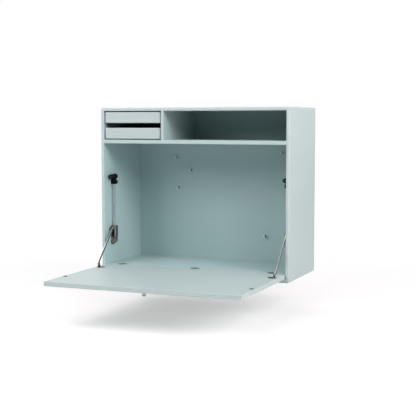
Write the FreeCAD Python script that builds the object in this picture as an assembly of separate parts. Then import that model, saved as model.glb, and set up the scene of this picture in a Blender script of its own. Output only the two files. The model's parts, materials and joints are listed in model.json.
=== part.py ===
"""Wall-hung fold-down desk: a shallow case with a drop front that becomes the desk top.

Millimetres. +X is right, +Z is up and the front faces -Y. The wall is the plane y = 0.
Heights are drawn from the underside of the case, and save() then moves every piece so
that the origin is the middle of the row of wall screw holes. The drop front is drawn
lowered, and both trays are drawn pushed in.
"""
import FreeCAD, Part

import math
import os

Vector = FreeCAD.Vector
X_AXIS = Vector(1, 0, 0)
Y_AXIS = Vector(0, 1, 0)
Z_AXIS = Vector(0, 0, 1)

# ---- Case ---------------------------------------------------------------------------
case_width = 700.0
case_depth = 300.0
case_height = 585.0
board = 12.0                    # thickness of the four outer boards
corner_radius = 6.5             # outer corners, seen from the front
front_round = 5.5               # outer arris around the front
inner_arris = 0.8
shelf_thickness = 13.0
divider_thickness = 10.0
edge_round = 1.2                # eased edges of the inner boards and the drop front
overcut = 1.0                   # how far a cut runs past the faces that it opens
upper_bay_height = 100.5
tray_bay_width = 222.0
back_thickness = 6.0
back_groove = 4.0               # how far the back panel goes into the boards

spline_thickness = 3.0
spline_width = 8.0
spline_end_inset = 20.0
dowel_radius = 3.0
dowel_in_board = 8.0            # into an outer board or the shelf's top
dowel_in_shelf = 16.0
dowel_end_inset = 60.0
floor_screw_end_inset = 88.0    # from the side boards
floor_screw_inset = 52.0        # from the floor's front and rear edges
floor_screw_bite = 9.6

# ---- Hanging rails and pegs --------------------------------------------------------
rail_sheet = 1.8
rail_gap = 0.2
rail_back_gap = 0.2             # between the wall rail's hook and the back panel
wall_rail_end_gap = 38.0        # from the side boards
cabinet_rail_end_gap = 18.0
wall_hole_drop = 103.0          # wall screw holes, below the top of the case
wall_hole_radius = 2.75
wall_hole_end_inset = 60.0      # outer holes, from the ends of the wall rail
wall_hole_pair = 160.0          # between the inner two holes
rail_flange = 26.0
rail_hook = 13.0
rail_hole_below_step = 11.0
rail_screw_end_inset = 30.0
rail_screw_rise = 15.6          # above the foot of the cabinet rail's flange
rail_screw_bite = 4.8

peg_radius = 4.0
peg_reach = 14.0
peg_tip_round = 1.5
# Each peg: -1 or 1 for the side board it is measured from, the distance from that board,
# and the distance below the shelf, or above the floor for the low one.
pegs_below_shelf = [(-1, 153.0, 58.5), (-1, 212.0, 104.5), (-1, 160.0, 170.5), (1, 107.0, 35.5)]
peg_above_floor = (1, 171.0, 92.0)

# ---- Drop front ----------------------------------------------------------------------
door_thickness = 15.0
door_side_gap = 2.0
door_top_gap = 1.5
door_foot_gap = 3.0
door_under_gap = 1.0            # between the lowered front and the bottom panel
door_recess = 6.0               # outer face behind the front of the case when closed
axis_below_face = 3.5           # hinge axis, from the inner face of the drop front
seam_gap = 1.0

hinge_inset = 54.0              # hinge centre, from the end of the drop front
hinge_radius = 17.5
hinge_depth = 8.0
tongue_width = 12.0
tongue_side_gap = 0.4
barrel_gap = 0.6
hinge_pin_radius = 2.0
hinge_pin_end_gap = 0.7
running_gap = 0.05
hinge_screw_length = 11.0
base_screw_setback = 7.4        # behind the front edge of the floor
base_screw_spread = 10.0
leaf_screw_setback = 4.0        # in front of the rear edge of the drop front

knob_radius = 6.0
knob_length = 16.6
knob_tip_round = 1.2
knob_from_edge = 40.0
stud_radius = 2.0
stud_in_door = 9.0
stud_in_knob = 10.0

strike_radius = 7.5
strike_thickness = 2.5
strike_proud = 1.0
strike_from_edge = 118.0        # from the free edge of the drop front

# ---- Stays ---------------------------------------------------------------------------
stay_offset = 12.0              # rod axis, from the inside of the side board
rod_depth = 56.0                # rod axis, behind the front of the case
rod_radius = 3.5
rod_in_foot = 12.0
rod_in_head = 17.0
bracket_distance = 90.0         # arm pin, from the hinge axis along the drop front
arm_pin_height = 14.0           # arm pin, above the inner face of the drop front
arm_length = 158.0              # between the two pins
arm_width = 8.0
arm_thickness = 3.0
arm_eye_wall = 2.5
arm_plane_shift = 0.5           # middle of the arm, outward of the rod axis
arm_pin_radius = 2.0
washer_gap = 0.3
pin_head_lip = 1.5
pin_head_height = 1.3
pin_head_gap = 0.2
rivet_head_lip = 2.0
rivet_head_height = 1.5
arm_front_gap = 1.5             # between the arm's eye and the slider block
slider_height = 41.0
slider_pin_below_top = 9.0
slider_side_wall = 3.0          # of the block, around the rod
slider_front_wall = 6.5
slider_rear_wall = 4.5
slider_corner_round = 1.2
slider_rest_gap = 0.3
clip_sheet = 1.5
clip_height = 36.0
clip_front = 5.0
boss_wall = 1.5
ear_lip = 4.0                   # of the ear, around the boss
foot_radius = 11.0
foot_height = 28.0
foot_side_wall = 3.0
foot_neck_wall = 3.5
foot_screw_rise = 8.3           # above the lowest point of the foot
head_block_wall = 5.5
head_block_height = 20.0
head_height = 38.0
head_radius = 9.8
head_rear = 11.0
nose_radius = 8.5
head_round = 2.0
ball_round = 4.0
bridge_half_height = 6.8
head_screw_rise = 1.5           # above the middle of the nose
magnet_wall = 3.0
magnet_length = 5.0
magnet_gap = 0.3
bracket_cup_radius = 12.5
bracket_lip = 2.5
bracket_cup_depth = 9.0
bracket_flange = 1.5
bracket_shift = 10.5            # flange centre, inward of the arm
lug_thickness = 3.0
lug_base_width = 16.0
lug_wall = 3.0

screw_radius = 1.75
screw_head_radius = 3.4
screw_head_height = 2.2
mount_screw_bite = 8.5          # into the side board

# ---- Trays ---------------------------------------------------------------------------
tray_recess = 4.0
tray_front_gap = 4.0
tray_finger_gap = 17.0          # between the two fronts
tray_foot_gap = 3.0
tray_head_gap = 3.5
tray_front_thickness = 12.0
tray_corner_radius = 3.5
tray_front_round = 2.5
tray_rear_gap = 16.0
tray_side_drop = 3.0            # top of the box, below the top of its front
tray_side_lift = 2.5            # underside of the box, above the underside of its front
tray_side_thickness = 10.0
tray_side_gap = 1.5
tray_bottom_thickness = 4.0
runner_height = 8.0
runner_width = 5.0
runner_rear_gap = 4.0
runner_above_base = 14.0
groove_side_gap = 0.5           # between the runner and the bottom of the groove
groove_gap = 0.3
groove_foot_gap = 0.5

# ---- Places that follow from the sizes ------------------------------------------------
half_width = case_width / 2
inner_half = half_width - board
front_y = -case_depth
wall_hole_height = case_height - wall_hole_drop
back_inset = 2 * rail_sheet + rail_gap + rail_back_gap  # from the wall to the back panel
back_face_y = -back_inset - back_thickness
shelf_z = case_height - board - upper_bay_height - shelf_thickness
shelf_top_z = shelf_z + shelf_thickness
ceiling_z = case_height - board
divider_x = -inner_half + tray_bay_width
floor_thickness = door_thickness + door_under_gap       # level with the lowered drop front
floor_z = board + floor_thickness
wall_rail_half = inner_half - wall_rail_end_gap
cabinet_rail_half = inner_half - cabinet_rail_end_gap

axis_z = floor_z - axis_below_face
axis_y = front_y + door_recess + door_thickness - axis_below_face
door_foot_z = board + door_foot_gap                     # lower end of the closed front
door_length = shelf_z - door_top_gap - door_foot_z
door_tail = axis_z - door_foot_z                        # reach of the front behind its axis
door_rear_y = axis_y + door_tail
door_front_y = door_rear_y - door_length
door_half = inner_half - door_side_gap
door_under_z = floor_z - door_thickness
nose_radius_at_axis = door_thickness - axis_below_face
floor_front_y = door_rear_y + seam_gap
hinge_centre_y = door_rear_y + seam_gap / 2
hinge_places = [-door_half + hinge_inset, 0.0, door_half - hinge_inset]
hinge_names = ["left", "middle", "right"]
barrel_radius = axis_below_face
hinge_slot_half = tongue_width / 2 + tongue_side_gap
pin_rear_offset = hinge_centre_y - axis_y + hinge_pin_radius
hinge_pin_half = math.sqrt(hinge_radius ** 2 - pin_rear_offset ** 2) - hinge_pin_end_gap
leaf_screw_y = door_rear_y - leaf_screw_setback
leaf_cheek_edge = math.sqrt(hinge_radius ** 2 - (hinge_centre_y - leaf_screw_y) ** 2)
leaf_screw_spread = (hinge_slot_half + leaf_cheek_edge) / 2

rod_x = inner_half - stay_offset
rod_y = front_y + rod_depth
arm_x = rod_x + arm_plane_shift
arm_pin_y = axis_y - bracket_distance
arm_pin_z = floor_z + arm_pin_height
arm_eye_radius = arm_pin_radius + arm_eye_wall
slider_half = rod_radius + slider_side_wall
slider_front = rod_radius + slider_front_wall
slider_rear = rod_radius + slider_rear_wall
slider_pin_y = rod_y - slider_front - arm_front_gap - arm_eye_radius
slider_pin_z = arm_pin_z + math.sqrt(arm_length ** 2 - (slider_pin_y - arm_pin_y) ** 2)
slider_top_z = slider_pin_z + slider_pin_below_top
slider_base_z = slider_top_z - slider_height
foot_top_z = slider_base_z - slider_rest_gap
foot_inward = rod_radius + foot_side_wall
strike_y = door_front_y + strike_from_edge
nose_z = axis_z + axis_y - strike_y
nose_front_y = front_y + door_recess + door_thickness + strike_proud + magnet_gap
head_top_z = nose_z + head_radius
head_base_z = head_top_z - head_height
magnet_radius = nose_radius - magnet_wall
bracket_radius = bracket_cup_radius + bracket_lip

groove_depth = runner_width - tray_side_gap + groove_side_gap
tray_front_height = (upper_bay_height - tray_foot_gap - tray_head_gap - tray_finger_gap) / 2
tray_side_height = tray_front_height - tray_side_lift - tray_side_drop
tray_front_y = front_y + tray_recess
tray_box_y = tray_front_y + tray_front_thickness
tray_rear_y = back_face_y - tray_rear_gap
lower_tray_z = shelf_top_z + tray_foot_gap
upper_tray_z = ceiling_z - tray_head_gap - tray_front_height


# ---- Helpers -------------------------------------------------------------------------
def block(low, high):
    """Box between two opposite corners."""
    size = [high[i] - low[i] for i in range(3)]
    return Part.makeBox(size[0], size[1], size[2], Vector(*low))


def rod(radius, start, direction, length):
    """Round bar that starts at a point and runs along a direction."""
    return Part.makeCylinder(radius, length, Vector(*start), direction)


def prism(points, along):
    """Straight-sided solid: an outline moved along a vector."""
    corners = [Vector(*point) for point in points]
    outline = Part.makePolygon(corners + corners[:1])
    return Part.Face(outline).extrude(along)


def fuse_all(shapes):
    whole = shapes[0]
    for shape in shapes[1:]:
        whole = whole.fuse(shape)
    return whole.removeSplitter()


def cut_all(shape, tools):
    for tool in tools:
        shape = shape.cut(tool)
    return shape


def edges_where(shape, test):
    """Edges of a shape whose bounding box passes a test."""
    return [edge for edge in shape.Edges if test(edge.BoundBox)]


def runs_along_y(box):
    return box.YLength > 1 and box.XLength < 0.01 and box.ZLength < 0.01


def lies_on_y(y):
    return lambda box: abs(box.YMin - y) < 0.01 and abs(box.YMax - y) < 0.01


def eased(shape, radius):
    """A board with all its edges rounded."""
    return shape.makeFillet(radius, shape.Edges)


def eased_front(shape, y, radius):
    """A board with the long front edges rounded, those that run along X or Z."""
    fronts = edges_where(shape, lies_on_y(y))
    longest = max(edge.Length for edge in fronts)
    return shape.makeFillet(radius, [edge for edge in fronts if edge.Length > longest - 0.01])


def countersunk_screw(head, direction, length):
    """Flat-headed screw. Its head's top is at the point head, and it points along direction."""
    start = Vector(*head)
    cone = Part.makeCone(screw_head_radius, screw_radius, screw_head_height, start, direction)
    shank = Part.makeCylinder(screw_radius, length, start, direction)
    return cone.fuse(shank).removeSplitter()


def group(shapes):
    return Part.makeCompound(shapes)


def save(name, shape):
    moved = shape.copy()
    moved.translate(Vector(0, 0, -wall_hole_height))
    moved.exportStep("parts/" + name + ".step")


# ---- Case ------------------------------------------------------------------------------
def case_ring():
    """The four outer boards in one piece, before they are cut apart along their mitres."""
    outer = block((-half_width, front_y, 0), (half_width, 0, case_height))
    outer = outer.makeFillet(corner_radius, edges_where(outer, runs_along_y))
    outer = outer.makeFillet(front_round, edges_where(outer, lies_on_y(front_y)))
    inside = block((-inner_half, front_y - overcut, board), (inner_half, overcut, ceiling_z))
    ring = outer.cut(inside)

    def on_inner_rim(box):
        within = box.XMin > -inner_half - 0.01 and box.XMax < inner_half + 0.01
        level = box.ZMin > board - 0.01 and box.ZMax < ceiling_z + 0.01
        return lies_on_y(front_y)(box) and within and level

    ring = ring.makeFillet(inner_arris, edges_where(ring, on_inner_rim))
    reach = inner_half + back_groove
    groove = block((-reach, back_face_y, board - back_groove),
                   (reach, -back_inset, ceiling_z + back_groove))
    return ring.cut(groove)


def mitre_wedges():
    """One wide wedge for each outer board, cut at 45 degrees at both ends."""
    out = board
    far_x = half_width + out
    low_z = -out
    high_z = case_height + out
    start = front_y - out
    length = Vector(0, case_depth + 2 * out, 0)
    near = inner_half
    return {
        "top_panel": prism([(-far_x, start, high_z), (far_x, start, high_z),
                            (near, start, ceiling_z), (-near, start, ceiling_z)], length),
        "bottom_panel": prism([(-far_x, start, low_z), (far_x, start, low_z),
                               (near, start, board), (-near, start, board)], length),
        "left_side_panel": prism([(-far_x, start, low_z), (-near, start, board),
                                  (-near, start, ceiling_z), (-far_x, start, high_z)], length),
        "right_side_panel": prism([(far_x, start, low_z), (near, start, board),
                                   (near, start, ceiling_z), (far_x, start, high_z)], length),
    }


def corner_spline(side, upper):
    """Loose tongue glued across a mitre, 45 degrees to both boards."""
    x = side * (half_width - board / 2)
    z = case_height - board / 2 if upper else board / 2
    length = case_depth - 2 * spline_end_inset
    strip = Part.makeBox(spline_width, length, spline_thickness,
                         Vector(-spline_width / 2, front_y + spline_end_inset, -spline_thickness / 2))
    turn = 45 if (side > 0) == upper else -45
    strip.rotate(Vector(0, 0, 0), Y_AXIS, turn)
    strip.translate(Vector(x, 0, z))
    return strip


def board_dowels():
    """Dowels that hold the shelf to the sides and the divider to the shelf and the top."""
    dowels = []
    for y in (front_y + dowel_end_inset, back_face_y - dowel_end_inset):
        for side in (-1, 1):
            start = side * (inner_half + dowel_in_board)
            length = dowel_in_board + dowel_in_shelf
            dowels.append(rod(dowel_radius, (start, y, shelf_z + shelf_thickness / 2),
                              X_AXIS * -side, length))
        middle = divider_x + divider_thickness / 2
        length = dowel_in_board + dowel_in_shelf
        dowels.append(rod(dowel_radius, (middle, y, ceiling_z + dowel_in_board), -Z_AXIS, length))
        dowels.append(rod(dowel_radius, (middle, y, shelf_top_z - dowel_in_board), Z_AXIS, length))
    return dowels


def floor_screws():
    """Screws through the bottom board into the raised floor."""
    places = []
    spread = inner_half - floor_screw_end_inset
    for x in (-spread, 0.0, spread):
        for y in (floor_front_y + floor_screw_inset, back_face_y - floor_screw_inset):
            places.append((x, y, 0))
    return [countersunk_screw(place, Z_AXIS, board + floor_screw_bite) for place in places]


def inner_boards():
    """Shelf, divider, raised floor and back panel."""
    shelf = block((-inner_half, front_y, shelf_z), (inner_half, back_face_y, shelf_top_z))
    shelf = eased_front(shelf, front_y, edge_round)
    divider = block((divider_x, front_y, shelf_top_z),
                    (divider_x + divider_thickness, back_face_y, ceiling_z))
    divider = eased_front(divider, front_y, edge_round)
    floor = block((-inner_half, floor_front_y, board), (inner_half, back_face_y, floor_z))
    floor = eased_front(floor, floor_front_y, edge_round)
    reach = inner_half + back_groove
    back = block((-reach, back_face_y, board - back_groove),
                 (reach, -back_inset, ceiling_z + back_groove))
    return {"middle_shelf": shelf, "vertical_divider": divider, "inner_floor": floor,
            "back_panel": back}


def peg_places():
    places = [(side * (inner_half - inset), shelf_z - drop) for side, inset, drop in pegs_below_shelf]
    side, inset, rise = peg_above_floor
    places.append((side * (inner_half - inset), floor_z + rise))
    return places


def back_pegs():
    """Round pegs that stand out of the back panel."""
    pegs = []
    for x, z in peg_places():
        peg = rod(peg_radius, (x, -back_inset, z), -Y_AXIS, back_thickness + peg_reach)
        pegs.append(peg.makeFillet(peg_tip_round, edges_where(peg, lies_on_y(back_face_y - peg_reach))))
    return pegs


# ---- Hanging rails -----------------------------------------------------------------------
def hook_z():
    """Top of the wall rail's hook, on which the case hangs."""
    return wall_hole_height + rail_hole_below_step + rail_hook


def wall_rail():
    """Stepped sheet rail: a flange on the wall and a hook that stands off it, pointing up."""
    step_z = wall_hole_height + rail_hole_below_step
    half = wall_rail_half
    hook_back = -rail_sheet - rail_gap
    flange = block((-half, -rail_sheet, step_z - rail_flange + rail_sheet), (half, 0, step_z))
    step = block((-half, hook_back - rail_sheet, step_z - rail_sheet), (half, 0, step_z))
    hook = block((-half, hook_back - rail_sheet, step_z - rail_sheet), (half, hook_back, hook_z()))
    holes = [rod(wall_hole_radius, (x, -2 * rail_sheet, wall_hole_height), Y_AXIS, 4 * rail_sheet)
             for x in wall_hole_places()]
    return cut_all(fuse_all([flange, step, hook]), holes)


def wall_hole_places():
    outer = wall_rail_half - wall_hole_end_inset
    inner = wall_hole_pair / 2
    return [-outer, -inner, inner, outer]


def cabinet_rail():
    """The matching rail on the back panel, with its hook pointing down behind the wall rail."""
    half = cabinet_rail_half
    base = hook_z()
    flange_back = -back_inset + rail_sheet
    hook_front = -rail_sheet - rail_gap
    flange = block((-half, -back_inset, base), (half, flange_back, base + rail_flange))
    step = block((-half, -back_inset, base), (half, -rail_gap, base + rail_sheet))
    hook = block((-half, hook_front, base - rail_hook + rail_gap), (half, -rail_gap, base + rail_sheet))
    return fuse_all([flange, step, hook])


def rail_screws():
    """Screws through the cabinet rail into the back panel, driven from behind."""
    z = hook_z() + rail_screw_rise
    back = -back_inset + rail_sheet
    outer = cabinet_rail_half - rail_screw_end_inset
    places = [outer * step / 2 for step in (-2, -1, 0, 1, 2)]
    return [countersunk_screw((x, back, z), -Y_AXIS, rail_sheet + rail_screw_bite) for x in places]


# ---- Hinges --------------------------------------------------------------------------------
def hinge_disc(x):
    return rod(hinge_radius, (x, hinge_centre_y, floor_z - hinge_depth), Z_AXIS, hinge_depth)


def floor_side(x):
    """The half of a hinge disc that lies in the raised floor."""
    reach = hinge_radius + overcut
    keep = block((x - reach, floor_front_y, board), (x + reach, hinge_centre_y + reach, floor_z + overcut))
    return hinge_disc(x).common(keep)


def door_side(x):
    """The half of a hinge disc that lies in the drop front."""
    reach = hinge_radius + overcut
    keep = block((x - reach, hinge_centre_y - reach, board), (x + reach, door_rear_y, floor_z + overcut))
    return hinge_disc(x).common(keep)


def hinge_base(x):
    """Fixed hinge half: a half disc with a tongue whose barrel lies on the axis."""
    half = tongue_width / 2
    tongue = block((x - half, axis_y, axis_z - barrel_radius),
                   (x + half, floor_front_y + barrel_radius, floor_z))
    barrel = rod(barrel_radius, (x - half, axis_y, axis_z), X_AXIS, tongue_width)
    bore = rod(hinge_pin_radius + running_gap, (x - half - overcut, axis_y, axis_z), X_AXIS,
               tongue_width + 2 * overcut)
    return fuse_all([floor_side(x), tongue, barrel]).cut(bore)


def hinge_slot(x):
    """Opening in the moving hinge half, in which the tongue swings."""
    front = axis_y - barrel_radius - barrel_gap
    return block((x - hinge_slot_half, front, floor_z - hinge_depth - overcut),
                 (x + hinge_slot_half, door_rear_y + overcut, floor_z + overcut))


def hinge_pin(x):
    return rod(hinge_pin_radius, (x - hinge_pin_half, axis_y, axis_z), X_AXIS, 2 * hinge_pin_half)


def hinge_leaf(x):
    """Moving hinge half: two cheeks joined in front of the barrel."""
    return cut_all(door_side(x), [hinge_slot(x), hinge_pin(x)])


def hinge_screws(x, y, spread):
    return [countersunk_screw((x + side * spread, y, floor_z), -Z_AXIS, hinge_screw_length)
            for side in (-1, 1)]


def base_screws(x):
    return hinge_screws(x, floor_front_y + base_screw_setback, base_screw_spread)


def leaf_screws(x):
    return hinge_screws(x, leaf_screw_y, leaf_screw_spread)


# ---- Stays ---------------------------------------------------------------------------------
def stay_rod(side):
    start = foot_top_z - rod_in_foot
    length = head_base_z + rod_in_head - start
    return rod(rod_radius, (side * rod_x, rod_y, start), Z_AXIS, length)


def wall_block(side, inward, y_low, y_high, z_low, z_high):
    """Block that reaches from the side board inward past the rod axis by a given amount."""
    near = rod_x - inward
    x_low, x_high = sorted((side * near, side * inner_half))
    return block((x_low, y_low, z_low), (x_high, y_high, z_high))


def stay_foot(side):
    """Drop-shaped foot that holds the lower end of the rod to the side board."""
    width = stay_offset + foot_inward
    base_z = foot_top_z - foot_height + foot_radius
    start = side * (rod_x - foot_inward)
    drop = rod(foot_radius, (start, rod_y, base_z), X_AXIS * side, width)
    neck_half = rod_radius + foot_neck_wall
    lean = math.acos((foot_radius - neck_half) / (foot_top_z - base_z))
    shoulder_y = foot_radius * math.sin(lean)
    shoulder_z = base_z + foot_radius * math.cos(lean)
    outline = [(start, rod_y - shoulder_y, shoulder_z), (start, rod_y + shoulder_y, shoulder_z),
               (start, rod_y + neck_half, foot_top_z), (start, rod_y - neck_half, foot_top_z)]
    neck = prism(outline, X_AXIS * (side * width))
    return cut_all(fuse_all([drop, neck]), [stay_rod(side), foot_screw(side)])


def foot_screw(side):
    head = (side * (rod_x - foot_inward), rod_y, foot_top_z - foot_height + foot_screw_rise)
    return countersunk_screw(head, X_AXIS * side, foot_inward + stay_offset + mount_screw_bite)


def stay_magnet(side):
    return rod(magnet_radius, (side * rod_x, nose_front_y, nose_z), Y_AXIS, magnet_length)


def head_screw(side):
    head = (side * (rod_x - head_radius), rod_y, nose_z + head_screw_rise)
    return countersunk_screw(head, X_AXIS * side, head_radius + stay_offset + mount_screw_bite)


def stay_head(side):
    """Top mount: a block that holds the rod, with a round nose that carries the magnet."""
    half = rod_radius + head_block_wall
    socket = wall_block(side, half, rod_y - half, rod_y + half,
                        head_base_z, head_base_z + head_block_height)
    socket = socket.makeFillet(head_round, edges_where(socket, lambda box: box.ZLength > 1))
    ball_front = rod_y - head_rear
    nose = rod(nose_radius, (side * rod_x, nose_front_y, nose_z), Y_AXIS,
               ball_front + ball_round - nose_front_y)
    nose = nose.makeFillet(head_round, edges_where(nose, lies_on_y(nose_front_y)))
    ball = rod(head_radius, (side * rod_x, ball_front, nose_z), Y_AXIS, 2 * head_rear)
    ball = ball.makeFillet(ball_round, edges_where(ball, lambda box: box.YLength < 0.01))
    bridge = wall_block(side, 0, ball_front + ball_round, rod_y + head_rear - ball_round,
                        nose_z - bridge_half_height, nose_z + bridge_half_height)
    body = fuse_all([socket, nose, ball, bridge])
    return cut_all(body, [stay_rod(side), stay_magnet(side), head_screw(side)])


def slider_block(side):
    """Friction block that runs on the rod."""
    body = block((side * rod_x - slider_half, rod_y - slider_front, slider_base_z),
                 (side * rod_x + slider_half, rod_y + slider_rear, slider_top_z))
    body = body.makeFillet(slider_corner_round, edges_where(body, lambda box: box.ZLength > 1))
    start = (side * rod_x, rod_y, slider_base_z - overcut)
    bore = rod(rod_radius + running_gap, start, Z_AXIS, slider_height + 2 * overcut)
    return body.cut(bore)


def slider_clip(side):
    """Sheet clip round the back of the block, with the ear that carries the arm."""
    low_z = slider_top_z - clip_height
    rear = rod_y + slider_rear
    near = rod_x - slider_half
    far = rod_x + slider_half
    boss_radius = arm_pin_radius + boss_wall
    ear_half = boss_radius + ear_lip

    def plate(x_low, x_high, y_low, y_high, z_low, z_high):
        low, high = sorted((side * x_low, side * x_high))
        return block((low, y_low, z_low), (high, y_high, z_high))

    inner = plate(near - clip_sheet, near, rod_y - clip_front, rear + clip_sheet, low_z, slider_top_z)
    back = plate(near - clip_sheet, far + clip_sheet, rear, rear + clip_sheet, low_z, slider_top_z)
    outer = plate(far, far + clip_sheet, rod_y - clip_front, rear + clip_sheet, low_z, slider_top_z)
    ear = plate(far, far + clip_sheet, slider_pin_y, rod_y - clip_front,
                slider_pin_z - ear_half, slider_pin_z + ear_half)
    eye = rod(ear_half, (side * far, slider_pin_y, slider_pin_z), X_AXIS * side, clip_sheet)
    arm_side = arm_x + arm_thickness / 2 + washer_gap
    boss = rod(boss_radius, (side * arm_side, slider_pin_y, slider_pin_z), X_AXIS * side, far - arm_side)
    return fuse_all([inner, back, outer, ear, eye, boss])


def arm_bar(side):
    """Flat arm between the drop front's bracket and the slider, as drawn with the front down."""
    start = side * (arm_x - arm_thickness / 2)
    bar = Part.makeBox(arm_thickness, arm_length, arm_width, Vector(0, 0, -arm_width / 2))
    low_eye = rod(arm_eye_radius, (0, 0, 0), X_AXIS, arm_thickness)
    high_eye = rod(arm_eye_radius, (0, arm_length, 0), X_AXIS, arm_thickness)
    arm = fuse_all([bar, low_eye, high_eye])
    rise = math.degrees(math.atan2(slider_pin_z - arm_pin_z, slider_pin_y - arm_pin_y))
    arm.rotate(Vector(0, 0, 0), X_AXIS, rise)
    arm.translate(Vector(min(start, start + side * arm_thickness), arm_pin_y, arm_pin_z))
    low_end = (start, arm_pin_y, arm_pin_z)
    low_bore = rod(arm_pin_radius + running_gap, low_end, X_AXIS * side, arm_thickness)
    return cut_all(arm, [low_bore, rivet_shank(side)])


def rivet_shank(side):
    start = side * (arm_x - arm_thickness / 2)
    return rod(arm_pin_radius, (start, slider_pin_y, slider_pin_z), X_AXIS * side, arm_thickness)


def arm_rivet(side):
    """Rivet at the slider end of the arm. It ends flush, just short of the slider's boss."""
    start = side * (arm_x - arm_thickness / 2)
    head = rod(arm_pin_radius + rivet_head_lip, (start, slider_pin_y, slider_pin_z),
               X_AXIS * -side, rivet_head_height)
    return fuse_all([rivet_shank(side), head])


def bracket_pin(side):
    """Headed pin through the bracket's lug, on which the arm turns."""
    lug_far = arm_x - arm_thickness / 2 - washer_gap
    arm_far = arm_x + arm_thickness / 2
    start = side * (lug_far - lug_thickness)
    length = arm_far + pin_head_gap - lug_far + lug_thickness
    shank = rod(arm_pin_radius, (start, arm_pin_y, arm_pin_z), X_AXIS * side, length)
    head_start = (start + side * length, arm_pin_y, arm_pin_z)
    head = rod(arm_pin_radius + pin_head_lip, head_start, X_AXIS * side, pin_head_height)
    return fuse_all([shank, head])


def bracket_seat(side):
    """Round cup and flange of the arm bracket, let into the drop front."""
    x = side * (arm_x - bracket_shift)
    cup = rod(bracket_cup_radius, (x, arm_pin_y, floor_z - bracket_cup_depth), Z_AXIS, bracket_cup_depth)
    flange = rod(bracket_radius, (x, arm_pin_y, floor_z), Z_AXIS, bracket_flange)
    return cup, flange


def arm_bracket(side):
    """Cup, flange and upright lug that hold the arm's lower pin."""
    cup, flange = bracket_seat(side)
    lug_near = side * (arm_x - arm_thickness / 2 - washer_gap - lug_thickness)
    base = floor_z + bracket_flange
    half = lug_base_width / 2
    lug_tip = arm_pin_radius + lug_wall
    outline = [(lug_near, arm_pin_y - half, base - bracket_flange / 2),
               (lug_near, arm_pin_y + half, base - bracket_flange / 2),
               (lug_near, arm_pin_y + lug_tip, arm_pin_z),
               (lug_near, arm_pin_y - lug_tip, arm_pin_z)]
    lug = prism(outline, X_AXIS * (side * lug_thickness))
    tip = rod(lug_tip, (lug_near, arm_pin_y, arm_pin_z), X_AXIS * side, lug_thickness)
    return fuse_all([cup, flange, lug, tip]).cut(bracket_pin(side))


# ---- Drop front ------------------------------------------------------------------------------
def strike_seat(side):
    start = (side * rod_x, strike_y, floor_z + strike_proud - strike_thickness)
    return rod(strike_radius, start, Z_AXIS, strike_thickness)


def strike_screw(side):
    head = (side * rod_x, strike_y, floor_z + strike_proud)
    return countersunk_screw(head, -Z_AXIS, hinge_screw_length)


def knob_parts():
    """Turned knob on the outer face, and the stud that holds it."""
    y = door_front_y + knob_from_edge
    knob = rod(knob_radius, (0, y, door_under_z), -Z_AXIS, knob_length)
    tip_z = door_under_z - knob_length
    tip = edges_where(knob, lambda box: box.ZMax < tip_z + 0.01)
    knob = knob.makeFillet(knob_tip_round, tip)
    stud = rod(stud_radius, (0, y, door_under_z - stud_in_knob), Z_AXIS, stud_in_knob + stud_in_door)
    return knob.cut(stud), stud


def door_panel(stud):
    """The drop front. Its lower outer edge is round about the hinge axis, so it clears the case."""
    panel = eased(block((-door_half, door_front_y, door_under_z), (door_half, door_rear_y, floor_z)),
                  edge_round)
    reach = door_half + overcut
    corner = block((-reach, axis_y, door_under_z - overcut), (reach, door_rear_y + overcut, axis_z))
    nose = rod(nose_radius_at_axis, (-reach, axis_y, axis_z), X_AXIS, 2 * reach)
    panel = panel.cut(corner.cut(nose))
    tools = [stud]
    for x in hinge_places:
        tools.append(door_side(x))
        tools.extend(leaf_screws(x))
    for side in (-1, 1):
        tools.append(bracket_seat(side)[0])
        tools.append(strike_seat(side))
        tools.append(strike_screw(side))
    return cut_all(panel, tools)


# ---- Trays -----------------------------------------------------------------------------------
def tray_runner(base_z, on_left):
    """Strip on which one side of a tray slides."""
    low_z = base_z + runner_above_base
    front = tray_box_y + groove_gap
    rear = back_face_y - runner_rear_gap
    wall = -inner_half if on_left else divider_x - runner_width
    return block((wall, front, low_z), (wall + runner_width, rear, low_z + runner_height))


def tray_parts(base_z):
    """Front, two grooved sides, back and bottom of a tray whose front starts at a height."""
    left = -inner_half + tray_front_gap
    right = divider_x - tray_front_gap
    front = block((left, tray_front_y, base_z), (right, tray_box_y, base_z + tray_front_height))
    front = front.makeFillet(tray_corner_radius, edges_where(front, runs_along_y))
    front = front.makeFillet(tray_front_round, edges_where(front, lies_on_y(tray_front_y)))

    box_left = -inner_half + tray_side_gap
    box_right = divider_x - tray_side_gap
    start = tray_box_y
    end = tray_rear_y
    low = base_z + tray_side_lift
    high = low + tray_side_height
    sides = []
    for on_left in (True, False):
        x = box_left if on_left else box_right - tray_side_thickness
        side = block((x, start, low), (x + tray_side_thickness, end, high))
        groove_x = x - overcut if on_left else x + tray_side_thickness - groove_depth
        groove_z = base_z + runner_above_base
        groove = block((groove_x, start - overcut, groove_z - groove_foot_gap),
                       (groove_x + groove_depth + overcut, end + overcut,
                        groove_z + runner_height + groove_gap))
        sides.append(side.cut(groove))
    inner_left = box_left + tray_side_thickness
    inner_right = box_right - tray_side_thickness
    back = block((inner_left, end - tray_side_thickness, low), (inner_right, end, high))
    bottom = block((inner_left, start, low),
                   (inner_right, end - tray_side_thickness, low + tray_bottom_thickness))
    return {"front": front, "sides": group(sides), "back": back, "bottom": bottom}


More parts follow.
